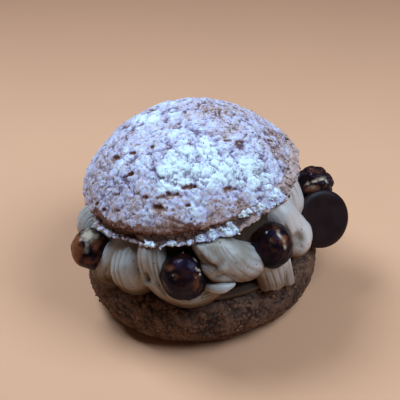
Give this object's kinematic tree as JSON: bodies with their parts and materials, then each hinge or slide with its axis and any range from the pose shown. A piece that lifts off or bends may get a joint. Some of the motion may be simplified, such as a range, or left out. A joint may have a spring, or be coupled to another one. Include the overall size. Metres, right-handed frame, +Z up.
{
  "type": "filled choux bun",
  "caption": "Round choux bun of the paris-brest kind, cut across and filled with piped praline cream, with a sugared craquelin lid, caramelised hazelnuts and a chocolate button.",
  "frame": {"origin": "centre of the bun's flat underside, on the surface it stands on", "axes": "+Z up; the front, with the chocolate button to its right, faces -Y; +X to the right seen from the front"},
  "size_m": [0.0996, 0.0898, 0.0692],
  "materials": {
    "baked_choux": "rough baked crust",
    "praline_cream": "soft sheen",
    "sugared_craquelin": "cracked crust dusted with sugar",
    "caramelised_nut": "glossy caramel",
    "dark_chocolate": "satin"
  },
  "bodies": {
    "root": {"base_bun": "baked_choux", "cream": "praline_cream", "lid": "sugared_craquelin", "hazelnut_front": "caramelised_nut", "hazelnut_right": "caramelised_nut", "hazelnut_side": "caramelised_nut", "hazelnut_left": "caramelised_nut", "hazelnut_back_right": "caramelised_nut", "hazelnut_back_left": "caramelised_nut", "chocolate_button": "dark_chocolate"}
  },
  "joints": []
}
